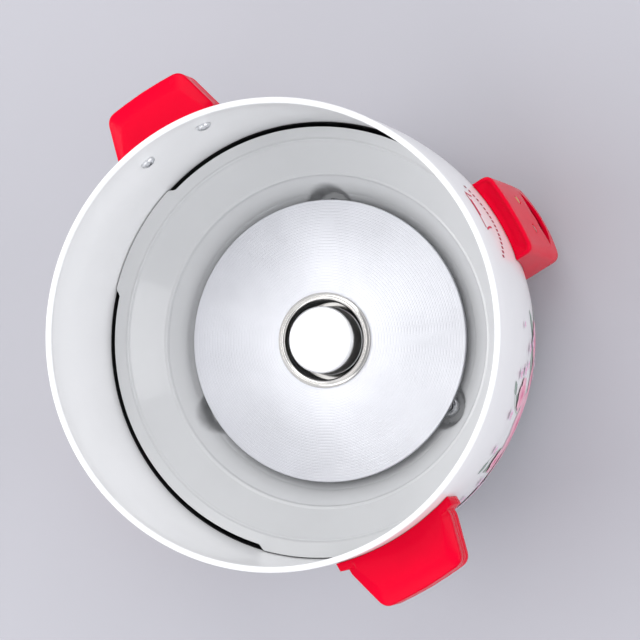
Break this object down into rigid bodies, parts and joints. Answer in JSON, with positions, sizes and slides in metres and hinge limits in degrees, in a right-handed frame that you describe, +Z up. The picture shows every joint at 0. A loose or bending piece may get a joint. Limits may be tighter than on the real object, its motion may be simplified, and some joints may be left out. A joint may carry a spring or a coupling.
{
  "type": "rice cooker",
  "caption": "Open drum-shaped rice cooker body with heating plate, sprung limiter cap, cooking lever, side handles, rear power inlet and feet.",
  "frame": {"origin": "on the surface it stands on, under the shell's vertical axis", "axes": "+Z up along the shell's axis towards the open mouth, -Y towards the control housing and lever, +X and -X towards the handles"},
  "size_m": [0.334, 0.2913, 0.19],
  "materials": {
    "shell_paint": "glossy white baked enamel with a printed rose spray",
    "dish_paint": "satin pale grey heat-resistant paint",
    "plate_aluminium": "turned aluminium with fine concentric rings",
    "cap_aluminium": "satin aluminium",
    "chrome": "polished",
    "red_plastic": "glossy moulded ABS",
    "black_plastic": "fine-textured moulding",
    "foot_rubber": "matte",
    "zinc_steel": "bright zinc plate",
    "spring_steel": "drawn wire",
    "ferrite": "sintered ferrite",
    "brass": "plated contact brass",
    "lamp_red": "translucent moulding",
    "lamp_amber": "translucent moulding",
    "circuit_board": "laminate",
    "lead_insulation": "braided glass-fibre sleeving"
  },
  "bodies": {
    "cooker_body": {"outer_shell": "shell_paint", "heat_shield_dish": "dish_paint", "heating_plate": "plate_aluminium", "plate_post_1": "zinc_steel", "plate_screw_1": "zinc_steel", "plate_post_2": "zinc_steel", "plate_screw_2": "zinc_steel", "plate_post_3": "zinc_steel", "plate_screw_3": "zinc_steel", "limiter_sleeve": "chrome", "cap_spring": "spring_steel", "pivot_bracket": "zinc_steel", "pivot_pin": "zinc_steel", "lever_spring": "spring_steel", "microswitch": "black_plastic", "switch_rivet_front": "brass", "switch_rivet_rear": "brass", "control_housing": "red_plastic", "housing_screw_left": "zinc_steel", "housing_screw_right": "zinc_steel", "lamp_lens_cook": "lamp_red", "lamp_lens_warm": "lamp_amber", "lamp_board": "circuit_board", "handle_right_upper": "red_plastic", "handle_right_lower": "red_plastic", "handle_right_screw_1": "zinc_steel", "handle_right_screw_2": "zinc_steel", "handle_left_upper": "red_plastic", "handle_left_lower": "red_plastic", "handle_left_screw_1": "zinc_steel", "handle_left_screw_2": "zinc_steel", "base_plate": "black_plastic", "foot_1": "foot_rubber", "foot_2": "foot_rubber", "foot_3": "foot_rubber", "foot_4": "foot_rubber", "inlet_housing": "red_plastic", "inlet_pin_live": "brass", "inlet_pin_neutral": "brass", "inlet_pin_earth": "brass", "inlet_screw_left": "zinc_steel", "inlet_screw_right": "zinc_steel", "element_terminal_left": "brass", "element_terminal_right": "brass", "warm_thermostat": "zinc_steel", "thermal_fuse": "lead_insulation", "lead_live": "lead_insulation", "lead_switch": "lead_insulation", "lead_neutral": "lead_insulation", "lead_earth": "lead_insulation"},
    "cooking_lever": {"lever_paddle": "red_plastic", "lever_arm": "zinc_steel"},
    "magnet_rod": {"pull_rod": "zinc_steel", "magnet_holder": "zinc_steel", "magnet": "ferrite"},
    "limiter": {"limiter_cap": "cap_aluminium", "ferrite_disc": "ferrite"},
    "plunger": {"switch_plunger": "red_plastic"}
  },
  "joints": [
    {"name": "lever_hinge", "type": "hinge", "parent": "cooker_body", "child": "cooking_lever", "pos_m": [0, -0.08, 0.02825], "axis": [1, 0, 0], "range_deg": [0, 6], "stiffness_Nm_per_rad": 1, "springref_deg": -6.88, "deforming": ["lever_spring"]},
    {"name": "magnet_rod_slide", "type": "slide", "parent": "cooker_body", "child": "magnet_rod", "axis": [0, 0, 1], "range_m": [0, 0.0085]},
    {"name": "limiter_cap_slide", "type": "slide", "parent": "cooker_body", "child": "limiter", "axis": [0, 0, -1], "range_m": [0, 0.007], "stiffness_N_per_m": 250, "springref_m": -0.008, "deforming": ["cap_spring"]},
    {"name": "switch_plunger_slide", "type": "slide", "parent": "cooker_body", "child": "plunger", "axis": [0, 0, 1], "range_m": [0, 0.002]}
  ],
  "couplings": [
    {"joint": "magnet_rod_slide", "follows": "lever_hinge", "m_per_rad": 0.08},
    {"joint": "switch_plunger_slide", "follows": "lever_hinge", "m_per_rad": 0.018}
  ]
}
